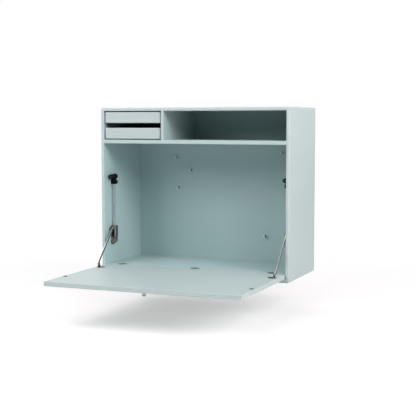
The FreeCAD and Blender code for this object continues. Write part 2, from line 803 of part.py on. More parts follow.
# ---- Build -------------------------------------------------------------------------------------
def build_case():
    ring = case_ring()
    splines = [corner_spline(side, upper) for side in (-1, 1) for upper in (False, True)]
    dowels = board_dowels()
    screws_below = floor_screws()
    mounts = [screw(side) for side in (-1, 1) for screw in (foot_screw, head_screw)]
    for name, wedge in mitre_wedges().items():
        panel = cut_all(ring.common(wedge), splines + dowels)
        if name == "bottom_panel":
            panel = cut_all(panel, screws_below)
        if name.endswith("side_panel"):
            panel = cut_all(panel, mounts)
        save(name, panel)
    save("corner_splines", group(splines))
    save("board_dowels", group(dowels))
    save("floor_screws", group(screws_below))

    boards = inner_boards()
    pegs = back_pegs()
    fixings = rail_screws()
    boards["middle_shelf"] = cut_all(boards["middle_shelf"], dowels)
    boards["vertical_divider"] = cut_all(boards["vertical_divider"], dowels)
    boards["back_panel"] = cut_all(boards["back_panel"], pegs + fixings)
    floor_tools = list(screws_below)
    for x in hinge_places:
        floor_tools.append(floor_side(x))
        floor_tools.extend(base_screws(x))
    boards["inner_floor"] = cut_all(boards["inner_floor"], floor_tools)
    for name, shape in boards.items():
        save(name, shape)
    save("back_pegs", group(pegs))
    save("cabinet_rail", cut_all(cabinet_rail(), fixings))
    save("wall_rail", wall_rail())
    save("rail_screws", group(fixings))


def build_stays():
    for side, name in ((-1, "left"), (1, "right")):
        save("stay_rod_" + name, stay_rod(side))
        save("stay_foot_" + name, stay_foot(side))
        save("stay_head_" + name, stay_head(side))
        save("slider_block_" + name, slider_block(side))
        save("slider_clip_" + name, slider_clip(side))
        save("stay_arm_" + name, arm_bar(side))
        save("arm_rivet_" + name, arm_rivet(side))
        save("arm_bracket_" + name, arm_bracket(side))
    save("stay_magnets", group([stay_magnet(side) for side in (-1, 1)]))
    save("stay_screws", group([screw(side) for side in (-1, 1) for screw in (foot_screw, head_screw)]))
    save("bracket_pins", group([bracket_pin(side) for side in (-1, 1)]))


def build_door():
    knob, stud = knob_parts()
    save("door_panel", door_panel(stud))
    save("door_knob", knob)
    save("knob_stud", stud)
    save("strike_plates", group([strike_seat(side).cut(strike_screw(side)) for side in (-1, 1)]))
    save("strike_screws", group([strike_screw(side) for side in (-1, 1)]))


def build_hinges():
    in_floor = []
    in_door = []
    for x, name in zip(hinge_places, hinge_names):
        save("hinge_base_" + name, cut_all(hinge_base(x), base_screws(x)))
        save("hinge_leaf_" + name, cut_all(hinge_leaf(x), leaf_screws(x)))
        in_floor.extend(base_screws(x))
        in_door.extend(leaf_screws(x))
    save("hinge_pins", group([hinge_pin(x) for x in hinge_places]))
    save("hinge_base_screws", group(in_floor))
    save("hinge_leaf_screws", group(in_door))


def build_trays():
    runners = []
    for base_z, name in ((lower_tray_z, "lower"), (upper_tray_z, "upper")):
        for piece, shape in tray_parts(base_z).items():
            save("tray_" + name + "_" + piece, shape)
        runners.append(tray_runner(base_z, True))
        runners.append(tray_runner(base_z, False))
    save("tray_runners", group(runners))


def main():
    os.makedirs("parts", exist_ok=True)
    build_case()
    build_hinges()
    build_door()
    build_stays()
    build_trays()
    print("drop front %.1f x %.1f mm, reaches %.1f mm past the case"
          % (2 * door_half, door_length, front_y - door_front_y))
    print("hinge axis at y %.2f, z %.2f above the underside of the case" % (axis_y, axis_z))


main()
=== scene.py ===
"""Looks of the wall-hung fold-down desk: finishes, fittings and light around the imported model.

Metres, but rings, rods and screws are in millimetres. +X is right, +Z is up, the front faces -Y and
the wall is the plane y = 0. The origin is the middle of the row of wall screw holes. The drop front
is down and both trays are in.
"""

import json
import math

import bmesh
import bpy
from mathutils import Matrix, Vector


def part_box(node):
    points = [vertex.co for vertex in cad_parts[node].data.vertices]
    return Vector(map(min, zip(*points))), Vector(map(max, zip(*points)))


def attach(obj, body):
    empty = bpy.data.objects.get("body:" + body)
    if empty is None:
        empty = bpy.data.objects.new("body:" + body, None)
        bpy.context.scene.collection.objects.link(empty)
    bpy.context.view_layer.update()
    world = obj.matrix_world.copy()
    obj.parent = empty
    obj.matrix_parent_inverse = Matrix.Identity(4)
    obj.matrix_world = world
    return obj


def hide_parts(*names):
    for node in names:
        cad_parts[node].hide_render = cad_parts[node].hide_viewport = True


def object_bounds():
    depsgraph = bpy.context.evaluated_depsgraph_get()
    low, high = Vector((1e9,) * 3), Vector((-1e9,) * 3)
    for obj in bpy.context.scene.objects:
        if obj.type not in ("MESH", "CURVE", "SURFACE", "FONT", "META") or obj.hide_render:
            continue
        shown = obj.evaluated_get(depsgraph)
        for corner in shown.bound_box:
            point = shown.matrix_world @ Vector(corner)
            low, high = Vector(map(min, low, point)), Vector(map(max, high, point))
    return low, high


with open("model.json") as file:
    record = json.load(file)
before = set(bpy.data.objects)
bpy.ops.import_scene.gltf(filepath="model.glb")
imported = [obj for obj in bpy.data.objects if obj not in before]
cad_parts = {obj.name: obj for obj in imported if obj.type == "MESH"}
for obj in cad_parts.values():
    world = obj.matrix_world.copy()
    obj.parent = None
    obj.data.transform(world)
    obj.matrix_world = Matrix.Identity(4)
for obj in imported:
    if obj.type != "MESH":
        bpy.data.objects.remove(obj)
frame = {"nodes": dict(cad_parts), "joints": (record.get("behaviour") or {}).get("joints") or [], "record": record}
cad_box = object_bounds()

MM = 0.001
LEFT = Vector((-1, 0, 0))
RIGHT = Vector((1, 0, 0))
FORWARD = Vector((0, -1, 0))
BACK = Vector((0, 1, 0))
UP = Vector((0, 0, 1))
DOWN = Vector((0, 0, -1))

# ---- Camera, floor and light ---------------------------------------------------------------
SENSOR_WIDTH = 36.0
FOCAL_LENGTH = 84.39
CAMERA_PLACE = Vector((1.3137, -3.3653, 0.0516))
CAMERA_AZIMUTH = math.radians(22.238)
CAMERA_ELEVATION = math.radians(5.024)
CLIP_NEAR = 0.05
CLIP_FAR = 200.0

LIGHT_TARGET = Vector((0.0, -0.25, -0.2))
LIGHT_DISTANCE = 3.5
# Each soft light: name, azimuth and elevation in degrees, width, height and power in watts.
SOFT_LIGHTS = [
    ("light_left_high", -40, 44, 2.4, 1.2, 18.0),
    ("light_left", -36, 27, 2.0, 1.3, 56.0),
    ("light_left_rear", -135, 45, 1.5, 1.5, 20.0),
    ("light_right_front", 46, 32, 1.2, 1.6, 24.0),
    ("light_right", 66, 25, 0.9, 1.4, 54.0),
    ("light_right_side", 90, 18, 1.2, 1.0, 30.0),
    ("light_right_rear", 125, 20, 1.0, 1.0, 10.0),
    ("light_above", -25, 78, 3.2, 3.2, 39.0),
]
ROOM_GLOW = 0.01                # what the room itself adds to the light on matt surfaces
GLOSS_BEHIND = 0.8              # how bright the room looks in a gloss, behind the desk
GLOSS_IN_FRONT = 0.15
GLOSS_EDGE = 0.25               # half the width of the change between the two
WHITE = (1.0, 1.0, 1.0, 1.0)

FLOOR_SIZE = 60.0
FLOOR_GAP = 0.122               # from the knob down to the floor
FLOOR_COLOR = 0.7
FLOOR_LIFT = 1.28               # brightness of the floor for the camera alone
FLOOR_WARMTH = 1.05             # undoes the board's colour in the light that it throws down
FLOOR_GLOW = 0.43               # share of the floor that shows no shadow
FLOOR_FADE_START = 0.7
FLOOR_FADE_END = 1.6


def set_camera():
    data = bpy.data.cameras.new("camera")
    data.sensor_width = SENSOR_WIDTH
    data.lens = FOCAL_LENGTH
    data.clip_start = CLIP_NEAR
    data.clip_end = CLIP_FAR
    camera = bpy.data.objects.new("camera", data)
    bpy.context.scene.collection.objects.link(camera)
    camera.location = CAMERA_PLACE
    camera.rotation_euler = (math.pi / 2 - CAMERA_ELEVATION, 0.0, CAMERA_AZIMUTH)
    bpy.context.scene.camera = camera


def soft_light(name, azimuth, elevation, width, height, watts):
    """Soft light on a sphere round the desk, turned towards it."""
    data = bpy.data.lights.new(name, "AREA")
    data.shape = "RECTANGLE"
    data.size = width
    data.size_y = height
    data.energy = watts
    lamp = bpy.data.objects.new(name, data)
    bpy.context.scene.collection.objects.link(lamp)
    turn = math.radians(azimuth)
    rise = math.radians(elevation)
    away = Vector((math.sin(turn) * math.cos(rise), -math.cos(turn) * math.cos(rise), math.sin(rise)))
    lamp.location = LIGHT_TARGET + away * LIGHT_DISTANCE
    lamp.rotation_euler = (-away).to_track_quat("-Z", "Y").to_euler()


def feed(tree, socket, term):
    """Links a socket to another socket, or sets it to a plain value."""
    if isinstance(term, bpy.types.NodeSocket):
        tree.links.new(term, socket)
    else:
        socket.default_value = term


def math_node(tree, operation, *terms):
    """Result of a math node, whose terms are sockets or plain numbers."""
    node = tree.nodes.new("ShaderNodeMath")
    node.operation = operation
    for socket, term in zip(node.inputs, terms):
        feed(tree, socket, term)
    return node.outputs[0]


def ramp(tree, value, start, end, low, high=1.0):
    """A value that runs from low to high while another goes from start to end."""
    node = tree.nodes.new("ShaderNodeMapRange")
    node.inputs["From Min"].default_value = start
    node.inputs["From Max"].default_value = end
    node.inputs["To Min"].default_value = low
    node.inputs["To Max"].default_value = high
    tree.links.new(value, node.inputs["Value"])
    return node.outputs["Result"]


def mixed(tree, share, first, second):
    """Two shaders mixed: share is how much of the second shows."""
    node = tree.nodes.new("ShaderNodeMixShader")
    tree.links.new(share, node.inputs["Fac"])
    tree.links.new(first, node.inputs[1])
    tree.links.new(second, node.inputs[2])
    return node.outputs[0]


def pale_world():
    """White for the camera, nearly dark as light on matt surfaces, and brighter behind in a gloss."""
    world = bpy.data.worlds.new("studio")
    bpy.context.scene.world = world
    world.use_nodes = True
    tree = world.node_tree
    direction = tree.nodes.new("ShaderNodeTexCoord")
    parts = tree.nodes.new("ShaderNodeSeparateXYZ")
    tree.links.new(direction.outputs["Generated"], parts.inputs[0])
    glow = ramp(tree, parts.outputs["Y"], -GLOSS_EDGE, GLOSS_EDGE, GLOSS_IN_FRONT, GLOSS_BEHIND)
    rays = tree.nodes.new("ShaderNodeLightPath").outputs
    glossy = math_node(tree, "MULTIPLY", rays["Is Glossy Ray"], glow)
    seen = math_node(tree, "MAXIMUM", rays["Is Camera Ray"], rays["Is Transmission Ray"])
    strength = math_node(tree, "MAXIMUM", math_node(tree, "MAXIMUM", seen, glossy), ROOM_GLOW)
    background = tree.nodes["Background"]
    background.inputs["Color"].default_value = WHITE
    tree.links.new(strength, background.inputs["Strength"])


def matt(tree, color):
    node = tree.nodes.new("ShaderNodeBsdfDiffuse")
    node.inputs["Color"].default_value = color
    return node.outputs[0]


def floor_finish():
    """White floor that keeps the desk's shadow, fades into the white room and is clear from below."""
    finish = bpy.data.materials.new("pale_floor")
    finish.use_nodes = True
    tree = finish.node_tree
    tree.nodes.clear()
    plain = matt(tree, (FLOOR_COLOR, FLOOR_COLOR, FLOOR_COLOR, 1.0))
    lifted = matt(tree, (FLOOR_LIFT * FLOOR_WARMTH, FLOOR_LIFT, FLOOR_LIFT, 1.0))
    white = tree.nodes.new("ShaderNodeEmission").outputs[0]
    clear = tree.nodes.new("ShaderNodeBsdfTransparent").outputs[0]
    coordinates = tree.nodes.new("ShaderNodeTexCoord")
    distance = tree.nodes.new("ShaderNodeVectorMath")
    distance.operation = "LENGTH"
    tree.links.new(coordinates.outputs["Object"], distance.inputs[0])
    fade = ramp(tree, distance.outputs["Value"], FLOOR_FADE_START, FLOOR_FADE_END, FLOOR_GLOW)
    camera_ray = tree.nodes.new("ShaderNodeLightPath").outputs["Is Camera Ray"]
    from_below = tree.nodes.new("ShaderNodeNewGeometry").outputs["Backfacing"]
    above = mixed(tree, camera_ray, plain, mixed(tree, fade, lifted, white))
    output = tree.nodes.new("ShaderNodeOutputMaterial")
    tree.links.new(mixed(tree, from_below, above, clear), output.inputs["Surface"])
    return finish


def lay_floor():
    bpy.ops.mesh.primitive_plane_add(size=FLOOR_SIZE)
    floor = bpy.context.object
    floor.name = "floor"
    floor.location = (0.0, cad_box[0].y / 2, cad_box[0].z - FLOOR_GAP)
    floor.data.materials.append(floor_finish())


# ---- Finishes ------------------------------------------------------------------------------
COLOR = "NodeSocketColor"
VALUE = "NodeSocketFloat"
VECTOR = "NodeSocketVector"
GREY = (0.5, 0.5, 0.5, 1.0)
NOISE_MEAN = 0.5
# How strongly the noise of each kind of surface acts on its roughness.
LACQUER_UNEVENNESS = 0.12
METAL_UNEVENNESS = 0.35
PLASTIC_UNEVENNESS = 0.2
# The painted side shade of metals fades by this power as a face turns away from X.
SIDE_SHARPNESS = 4.0            # how soon the side shade fades as a face turns away from X


def surface_group(name, inputs):
    """New node group with the given inputs (name, kind, value), and its input sockets."""
    group = bpy.data.node_groups.new(name, "ShaderNodeTree")
    for label, kind, value in inputs:
        socket = group.interface.new_socket(label, in_out="INPUT", socket_type=kind)
        socket.default_value = value
    for label, kind in (("Color", COLOR), ("Roughness", VALUE), ("Height", VALUE)):
        group.interface.new_socket(label, in_out="OUTPUT", socket_type=kind)
    return group, group.nodes.new("NodeGroupInput").outputs


def finished_group(group, color, roughness, height):
    """Joins a group's three outputs to what makes them."""
    result = group.nodes.new("NodeGroupOutput")
    for label, made in (("Color", color), ("Roughness", roughness), ("Height", height)):
        group.links.new(made, result.inputs[label])
    return group


def noise(group, place, scale, detail):
    node = group.nodes.new("ShaderNodeTexNoise")
    node.inputs["Detail"].default_value = detail
    feed(group, node.inputs["Scale"], scale)
    group.links.new(place, node.inputs["Vector"])
    return node.outputs["Fac"]


def added_noise(group, main, lesser, share):
    """Noise with a share of another one added, moved to lie evenly round zero."""
    total = math_node(group, "MULTIPLY_ADD", lesser, share, main)
    return math_node(group, "SUBTRACT", total, NOISE_MEAN * (1.0 + share))


def product(group, first, second):
    """Two vectors or colours multiplied, or one of them by a grey value."""
    node = group.nodes.new("ShaderNodeVectorMath")
    node.operation = "MULTIPLY"
    group.links.new(first, node.inputs[0])
    group.links.new(second, node.inputs[1])
    return node.outputs[0]


def sprayed_group():
    """Sprayed lacquer: a faint cloudiness, fine orange peel and slightly uneven gloss."""
    group, given = surface_group("sprayed_lacquer", [
        ("Color", COLOR, GREY), ("Cloud", VALUE, 0.03), ("Gloss", VALUE, 0.4), ("Peel", VALUE, 900.0)])
    place = group.nodes.new("ShaderNodeTexCoord").outputs["Object"]
    cloud = noise(group, place, scale=6.0, detail=3.0)
    speck = noise(group, place, scale=140.0, detail=2.0)
    uneven = added_noise(group, cloud, speck, share=0.3)
    peel = noise(group, place, scale=given["Peel"], detail=1.0)
    shade = math_node(group, "MULTIPLY_ADD", uneven, given["Cloud"], 1.0)
    rough = math_node(group, "MULTIPLY_ADD", uneven, LACQUER_UNEVENNESS, given["Gloss"])
    return finished_group(group, product(group, given["Color"], shade), rough, peel)


def brushed_group():
    """Brushed or drawn metal: streaks along one axis, with faint stains.

    The side shade input dims faces that look left or right: painted shade for dark reflections on flat sides.
    """
    group, given = surface_group("brushed_metal", [
        ("Color", COLOR, GREY), ("Stretch", VECTOR, (1.0, 1.0, 1.0)), ("Streak", VALUE, 0.1),
        ("Roughness", VALUE, 0.3), ("Painted Side Shade", VALUE, 0.0)])
    surface = group.nodes.new("ShaderNodeTexCoord").outputs
    stretched = product(group, surface["Object"], given["Stretch"])
    streaks = noise(group, stretched, scale=1.0, detail=4.0)
    stains = noise(group, surface["Object"], scale=45.0, detail=3.0)
    uneven = added_noise(group, streaks, stains, share=0.5)
    streaked = math_node(group, "MULTIPLY_ADD", uneven, given["Streak"], 1.0)
    # Painted side shade: the colour is dimmed on faces whose normal points along X.
    facing = group.nodes.new("ShaderNodeSeparateXYZ")
    group.links.new(surface["Normal"], facing.inputs[0])
    sideways = math_node(group, "MULTIPLY", facing.outputs["X"], facing.outputs["X"])
    sideways = math_node(group, "POWER", sideways, SIDE_SHARPNESS)
    painted_side_dimming = math_node(group, "MULTIPLY", sideways, given["Painted Side Shade"])
    shade = math_node(group, "MULTIPLY", streaked, math_node(group, "SUBTRACT", 1.0, painted_side_dimming))
    rough = math_node(group, "MULTIPLY_ADD", uneven, METAL_UNEVENNESS, given["Roughness"])
    return finished_group(group, product(group, given["Color"], shade), rough, streaks)


def grained_group():
    """Moulded plastic: fine pits and a mottled shade."""
    group, given = surface_group("moulded_grain", [
        ("Color", COLOR, GREY), ("Grain", VALUE, 1200.0), ("Mottle", VALUE, 0.2), ("Roughness", VALUE, 0.4)])
    place = group.nodes.new("ShaderNodeTexCoord").outputs["Object"]
    grain = noise(group, place, scale=given["Grain"], detail=3.0)
    uneven = math_node(group, "SUBTRACT", grain, NOISE_MEAN)
    shade = math_node(group, "MULTIPLY_ADD", uneven, given["Mottle"], 1.0)
    rough = math_node(group, "MULTIPLY_ADD", uneven, PLASTIC_UNEVENNESS, given["Roughness"])
    return finished_group(group, product(group, given["Color"], shade), rough, grain)


SPRAYED = sprayed_group()
BRUSHED = brushed_group()
GRAINED = grained_group()
FINISHES = {}                   # every finish by its name


def add_finish(name, group, color, values, metallic=0.0, bump=0.1, depth=0.0002, sheen_level=0.5):
    """Adds a material that takes its colour, roughness and bump from a node group."""
    finish = bpy.data.materials.new(name)
    finish.use_nodes = True
    tree = finish.node_tree
    shader = tree.nodes["Principled BSDF"]
    surface = tree.nodes.new("ShaderNodeGroup")
    surface.node_tree = group
    surface.inputs["Color"].default_value = (*color, 1.0)
    for label, value in values.items():
        surface.inputs[label].default_value = value
    tree.links.new(surface.outputs["Color"], shader.inputs["Base Color"])
    tree.links.new(surface.outputs["Roughness"], shader.inputs["Roughness"])
    relief = tree.nodes.new("ShaderNodeBump")
    relief.inputs["Strength"].default_value = bump
    relief.inputs["Distance"].default_value = depth
    tree.links.new(surface.outputs["Height"], relief.inputs["Height"])
    tree.links.new(relief.outputs["Normal"], shader.inputs["Normal"])
    shader.inputs["Metallic"].default_value = metallic
    shader.inputs["Specular IOR Level"].default_value = sheen_level
    FINISHES[name] = finish


def lacquer(name, color, cloud=0.05, gloss=0.38, peel=1600.0, **more):
    add_finish(name, SPRAYED, color, {"Cloud": cloud, "Gloss": gloss, "Peel": peel}, **more)


def plastic(name, color, mottle, roughness, **more):
    add_finish(name, GRAINED, color, {"Mottle": mottle, "Roughness": roughness}, **more)


def metal(name, color, stretch, streak, roughness, painted_side_shade=0.0, **more):
    values = {"Stretch": stretch, "Streak": streak, "Roughness": roughness, "Painted Side Shade": painted_side_shade}
    add_finish(name, BRUSHED, color, values, metallic=1.0, **more)


# How close the streaks of a metal lie along X, Y and Z.
LENGTHWISE = (900.0, 900.0, 25.0)
CROSSWISE = (25.0, 900.0, 900.0)
EVEN = (350.0, 350.0, 350.0)
COARSE = (260.0, 260.0, 260.0)
WOOD_GRAIN = (400.0, 400.0, 40.0)

# One lacquer colour, lacquered_board, and four copies whose tints paint in light: less blue-green where faces are
# lit, more blue-green where they lie in shade.
BOARD_COLORS = {
    "lacquered_board": (0.468, 0.566, 0.571),
    "lacquer_painted_light_front": (0.492, 0.568, 0.573),
    "lacquer_painted_light_side": (0.483, 0.552, 0.556),
    "lacquer_painted_shade_back": (0.426, 0.568, 0.574),
    "lacquer_painted_shade_inner": (0.465, 0.598, 0.604),
}
# Boards that take a lit or shaded copy of the lacquer: the front and side tints are painted light, the back and
# inner tints painted shade.
BOARDS_WITH_PAINTED_LIGHT = {
    "door_panel": "lacquer_painted_light_front",
    "right_side_panel": "lacquer_painted_light_side",
    "top_panel": "lacquer_painted_light_side",
    "tray_upper_front": "lacquer_painted_light_side",
    "tray_lower_front": "lacquer_painted_light_side",
    "back_panel": "lacquer_painted_shade_back",
    "inner_floor": "lacquer_painted_shade_inner",
    "left_side_panel": "lacquer_painted_shade_inner",
}


def make_finishes():
    """One finish for each material slot of the record, and variants of some."""
    for name, color in BOARD_COLORS.items():
        lacquer(name, color, cloud=0.035, gloss=0.42, peel=1100.0, bump=0.12)
    lacquer("lacquered_peg", (0.5, 0.62, 0.625))
    # The pegs' cap and stem colours are painted light and shade: the cap paler than the boards, the stem nearly
    # black.
    lacquer("peg_cap_painted_light", (0.63, 0.76, 0.765))
    lacquer("peg_stem_painted_shade", (0.004, 0.045, 0.045), gloss=0.5, sheen_level=0.2)
    wood = {"Stretch": WOOD_GRAIN, "Streak": 0.5, "Roughness": 0.6}
    add_finish("beech", BRUSHED, (0.57, 0.36, 0.2), wood, bump=0.3)
    plastic("runner_plastic", (0.15, 0.17, 0.18), mottle=0.1, roughness=0.5)
    plastic("black_plastic", (0.004, 0.004, 0.005), mottle=0.2, roughness=0.42, bump=0.06,
            sheen_level=0.12)
    metal("zinc_rail", (0.55, 0.57, 0.59), CROSSWISE, streak=0.25, roughness=0.36)
    # Magnet faces, cast feet, brackets, hinges and strike plates are darker than bare steel or nickel: painted
    # dark reflections. The cast feet's mottle is their own.
    metal("magnet_face", (0.055, 0.054, 0.056), EVEN, streak=0.2, roughness=0.45)
    metal("bright_steel", (0.68, 0.63, 0.62), LENGTHWISE, streak=0.1, roughness=0.32)
    # The arms, and the nickel steel of the slider clips and arm rivets, carry painted side shade.
    metal("arm_steel", (0.78, 0.75, 0.74), LENGTHWISE, streak=0.15, roughness=0.32, painted_side_shade=0.85)
    metal("cast_nickel", (0.32, 0.265, 0.245), COARSE, streak=2.8, roughness=0.42, bump=0.5,
          depth=0.0005)
    metal("bracket_nickel", (0.15, 0.143, 0.138), EVEN, streak=0.3, roughness=0.4)
    metal("hinge_nickel", (0.27, 0.238, 0.225), EVEN, streak=0.3, roughness=0.42)
    metal("strike_steel", (0.04, 0.038, 0.037), EVEN, streak=0.25, roughness=0.4)
    metal("nickel_steel", (0.44, 0.405, 0.385), LENGTHWISE, streak=0.25, roughness=0.38,
          painted_side_shade=0.45)
    metal("screw_steel", (0.5, 0.49, 0.48), EVEN, streak=0.2, roughness=0.32)


# ---- Ways of shaping a piece ---------------------------------------------------------------
ALMOST_UP = 0.9                 # height of a face's normal, when the face looks up
NEAR = 0.01 * MM                # closer than this counts as the same place


def choose(piece):
    bpy.ops.object.select_all(action="DESELECT")
    piece.select_set(True)
    bpy.context.view_layer.objects.active = piece


def settle(piece):
    """Moves a piece's place, turn and scale into its mesh."""
    choose(piece)
    bpy.ops.object.transform_apply(location=True, rotation=True, scale=True)


def edited(piece, kind, test, shape):
    """Selects a piece's VERT, EDGE or FACE parts that pass a test, and shapes them in edit mode."""
    choose(piece)
    bpy.ops.object.mode_set(mode="EDIT")
    bpy.ops.mesh.select_mode(type=kind)
    mesh = bmesh.from_edit_mesh(piece.data)
    for part in {"VERT": mesh.verts, "EDGE": mesh.edges, "FACE": mesh.faces}[kind]:
        part.select_set(test(part))
    bmesh.update_edit_mesh(piece.data)
    shape()
    bpy.ops.object.mode_set(mode="OBJECT")
    return piece


def outward(piece):
    """Turns every face of a closed piece outwards."""
    return edited(piece, "FACE", lambda face: True,
                  lambda: bpy.ops.mesh.normals_make_consistent(inside=False))


def block(name, low, high):
    """Square block between two opposite corners."""
    bpy.ops.object.select_all(action="DESELECT")
    low = Vector(low)
    high = Vector(high)
    bpy.ops.mesh.primitive_cube_add(size=1.0, location=(low + high) / 2)
    piece = bpy.context.object
    piece.name = name
    piece.scale = high - low
    settle(piece)
    return piece


def turned(name, place, direction, rings, sides=48):
    """Round piece, pushed out ring by ring. Each ring is (distance from place, radius), in millimetres."""
    rings = [(reach * MM, radius * MM) for reach, radius in rings]
    bpy.ops.object.select_all(action="DESELECT")
    reach, radius = rings[0]
    bpy.ops.mesh.primitive_circle_add(vertices=sides, radius=radius, fill_type="NGON",
                                      location=(0.0, 0.0, reach))
    piece = bpy.context.object
    piece.name = name
    settle(piece)

    def push_out():
        for (reach, radius), (next_reach, next_radius) in zip(rings, rings[1:]):
            step = (0.0, 0.0, next_reach - reach)
            bpy.ops.mesh.extrude_region_move(TRANSFORM_OT_translate={"value": step})
            share = next_radius / radius
            bpy.ops.transform.resize(value=(share, share, 1.0), center_override=(0.0, 0.0, next_reach))

    edited(piece, "FACE", lambda face: True, push_out)
    outward(piece)
    piece.rotation_euler = Vector(direction).to_track_quat("Z", "Y").to_euler()
    piece.location = place
    settle(piece)
    return piece


def rod(name, place, direction, length, radius, sides=48):
    """Plain round bar. Its length and radius are in millimetres."""
    return turned(name, place, direction, [(0.0, radius), (length, radius)], sides)


def apply_modifier(piece, modifier):
    choose(piece)
    bpy.ops.object.modifier_apply(modifier=modifier.name)


def combine(piece, others, operation):
    """Joins other solids to a piece, or cuts them out of it. They are used up."""
    for other in others:
        modifier = piece.modifiers.new("solid", "BOOLEAN")
        modifier.operation = operation
        modifier.solver = "EXACT"
        modifier.object = other
        apply_modifier(piece, modifier)
        bpy.data.objects.remove(other)
    return piece


def joined(piece, *others):
    return combine(piece, others, "UNION")


def carved(piece, *others):
    return combine(piece, others, "DIFFERENCE")


def shaded(piece, angle=40.0):
    """Smooth shading, except at edges sharper than the angle."""
    choose(piece)
    bpy.ops.object.shade_smooth_by_angle(angle=math.radians(angle))
    return piece


def lathed(name, place, direction, rings, sides=48, angle=30.0):
    """Round piece that needs no further shaping."""
    return shaded(turned(name, place, direction, rings, sides), angle)


def eased(piece, width, segments=3, angle=35.0):
    """Rounds the sharp edges of a piece."""
    modifier = piece.modifiers.new("easing", "BEVEL")
    modifier.width = width
    modifier.segments = segments
    modifier.limit_method = "ANGLE"
    modifier.angle_limit = math.radians(angle)
    modifier.use_clamp_overlap = True
    apply_modifier(piece, modifier)
    return shaded(piece)


def flat_faced(piece):
    """Keeps the large faces flat in the light, so that only the rounded edges turn away."""
    modifier = piece.modifiers.new("flats", "WEIGHTED_NORMAL")
    modifier.keep_sharp = True
    apply_modifier(piece, modifier)
    return piece


def rounded_edges(piece, test, radius):
    """Rounds the edges of a piece whose two ends pass a test."""
    return edited(piece, "EDGE", lambda edge: test(edge.verts[0].co, edge.verts[1].co),
                  lambda: bpy.ops.mesh.bevel(offset=radius, segments=6, affect="EDGES"))


def narrowed(piece, y, share):
    """Draws the top of a block in towards a line at y."""
    return edited(piece, "FACE", lambda face: face.normal.z > ALMOST_UP,
                  lambda: bpy.ops.transform.resize(value=(1.0, share, 1.0), center_override=(0.0, y, 0.0)))


def sloped(piece, x, z):
    """Brings the top edge of a block at x down to z."""
    top = max(vertex.co.z for vertex in piece.data.vertices)

    def at_top_edge(vertex):
        return abs(vertex.co.x - x) < NEAR and vertex.co.z > top - NEAR

    return edited(piece, "VERT", at_top_edge,
                  lambda: bpy.ops.transform.translate(value=(0.0, 0.0, z - top)))


def sliced(piece, place, outside):
    """Cuts off what lies on the outside of a plane and closes the cut."""
    return edited(piece, "FACE", lambda face: True,
                  lambda: bpy.ops.mesh.bisect(plane_co=place, plane_no=outside, use_fill=True,
                                              clear_outer=True))


def moulded(piece, voxel, passes):
    """Blends a piece's parts into each other, as a casting or moulding has them."""
    remesh = piece.modifiers.new("casting", "REMESH")
    remesh.mode = "VOXEL"
    remesh.voxel_size = voxel
    apply_modifier(piece, remesh)
    smooth = piece.modifiers.new("polish", "SMOOTH")
    smooth.factor = 0.5
    smooth.iterations = passes
    apply_modifier(piece, smooth)
    choose(piece)
    bpy.ops.object.shade_smooth()
    return piece


def copied(piece, move):
    """A copy of a piece with its own mesh, moved by a matrix."""
    choose(piece)
    bpy.ops.object.duplicate()
    twin = bpy.context.object
    twin.data.transform(move)
    return twin


def right_hand(piece):
    """The mirror image of a left-hand piece, across the middle of the desk."""
    return outward(copied(piece, Matrix.Scale(-1, 4, RIGHT)))


def gathered(pieces):
    """Several pieces as one object."""
    bpy.ops.object.select_all(action="DESELECT")
    for piece in pieces:
        piece.select_set(True)
    bpy.context.view_layer.objects.active = pieces[0]
    bpy.ops.object.join()
    return pieces[0]


def fitted(piece, name, body, slot, *nodes, finish=None):
    """Names a piece, gives it its finish, puts it on its body and lets it stand for its CAD nodes."""
    piece.name = name
    piece.data.materials.clear()
    piece.data.materials.append(FINISHES[finish or slot])
    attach(piece, body)
    if nodes:
        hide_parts(*nodes)


def middle(node):
    low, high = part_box(node)
    return (low + high) / 2


# ---- Screws --------------------------------------------------------------------------------
# All in millimetres. The head, the shank and the point are given by their radius.
SCREW_HEAD = 3.4
SCREW_SHANK = 1.75
SCREW_POINT = 0.2
SCREW_HEAD_HEIGHT = 2.2
SCREW_EDGE = 0.1                # how far the head's top edge is broken
SCREW_RIM = 0.25                # how far down the head keeps its full width
SCREW_SINK = 0.05               # how far a head lies below its seat's rim
RECESS_DEPTH = 1.5
RECESS_REACH = 1.9
RECESS_HALF_WIDTH = 0.45
RECESS_OVERSHOOT = 1.0          # how far the cut starts above the head
THREAD_PITCH = 1.4
THREAD_DEPTH = 0.3
SHORT_SCREW = 11.0
LONG_SCREW = 18.0


def cross_screw(length):
    """Flat-headed screw with a cross recess, its head's top at the origin, pointing down."""
    core = SCREW_SHANK - THREAD_DEPTH
    rings = [(0.0, SCREW_HEAD - SCREW_EDGE), (SCREW_EDGE, SCREW_HEAD), (SCREW_RIM, SCREW_HEAD),
             (SCREW_HEAD_HEIGHT, SCREW_SHANK)]
    reach = SCREW_HEAD_HEIGHT + THREAD_PITCH
    tip = length - 2 * THREAD_PITCH
    while reach < tip:
        rings.append((reach, core))
        rings.append((reach + THREAD_PITCH / 2, SCREW_SHANK))
        reach += THREAD_PITCH
    rings.append((tip, core))
    rings.append((length, SCREW_POINT))
    screw = turned("screw", (0, 0, 0), DOWN, rings, sides=24)
    for reach_x, reach_y in ((RECESS_REACH, RECESS_HALF_WIDTH), (RECESS_HALF_WIDTH, RECESS_REACH)):
        low = Vector((-reach_x, -reach_y, -RECESS_DEPTH)) * MM
        high = Vector((reach_x, reach_y, RECESS_OVERSHOOT)) * MM
        carved(screw, block("recess", low, high))
    return shaded(screw, angle=30.0)


